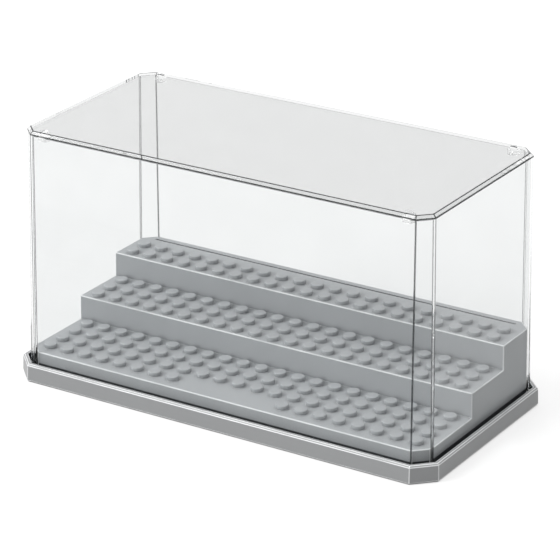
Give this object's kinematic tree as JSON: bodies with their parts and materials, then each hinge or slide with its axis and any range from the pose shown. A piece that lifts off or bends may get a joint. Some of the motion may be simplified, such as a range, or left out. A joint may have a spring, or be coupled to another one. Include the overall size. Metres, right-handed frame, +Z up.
{
  "type": "figure display case",
  "caption": "Clear lift-off dust cover over a three-tier studded deck for small figures, standing in a shallow octagonal tray.",
  "frame": {"origin": "middle of the footprint, on the surface that the case stands on", "axes": "+X along the length to the right seen from the front, +Y from the front to the back, +Z up"},
  "size_m": [0.1824, 0.092, 0.1],
  "materials": {
    "tray_plastic": "fine satin moulded grey",
    "deck_plastic": "fine satin moulded grey",
    "screw_steel": "zinc plated",
    "clear_plastic": "polished clear moulded plastic",
    "pad_rubber": "soft matt rubber"
  },
  "bodies": {
    "base": {"base_tray": "tray_plastic", "stepped_deck": "deck_plastic", "deck_screws": "screw_steel", "foot_pad_front_left": "pad_rubber", "foot_pad_front_right": "pad_rubber", "foot_pad_rear_left": "pad_rubber", "foot_pad_rear_right": "pad_rubber"},
    "cover": {"clear_cover": "clear_plastic"}
  },
  "joints": [
    {"name": "cover_lift", "type": "slide", "parent": "base", "child": "cover", "axis": [0, 0, 1], "range_m": [0, 0.1]}
  ]
}
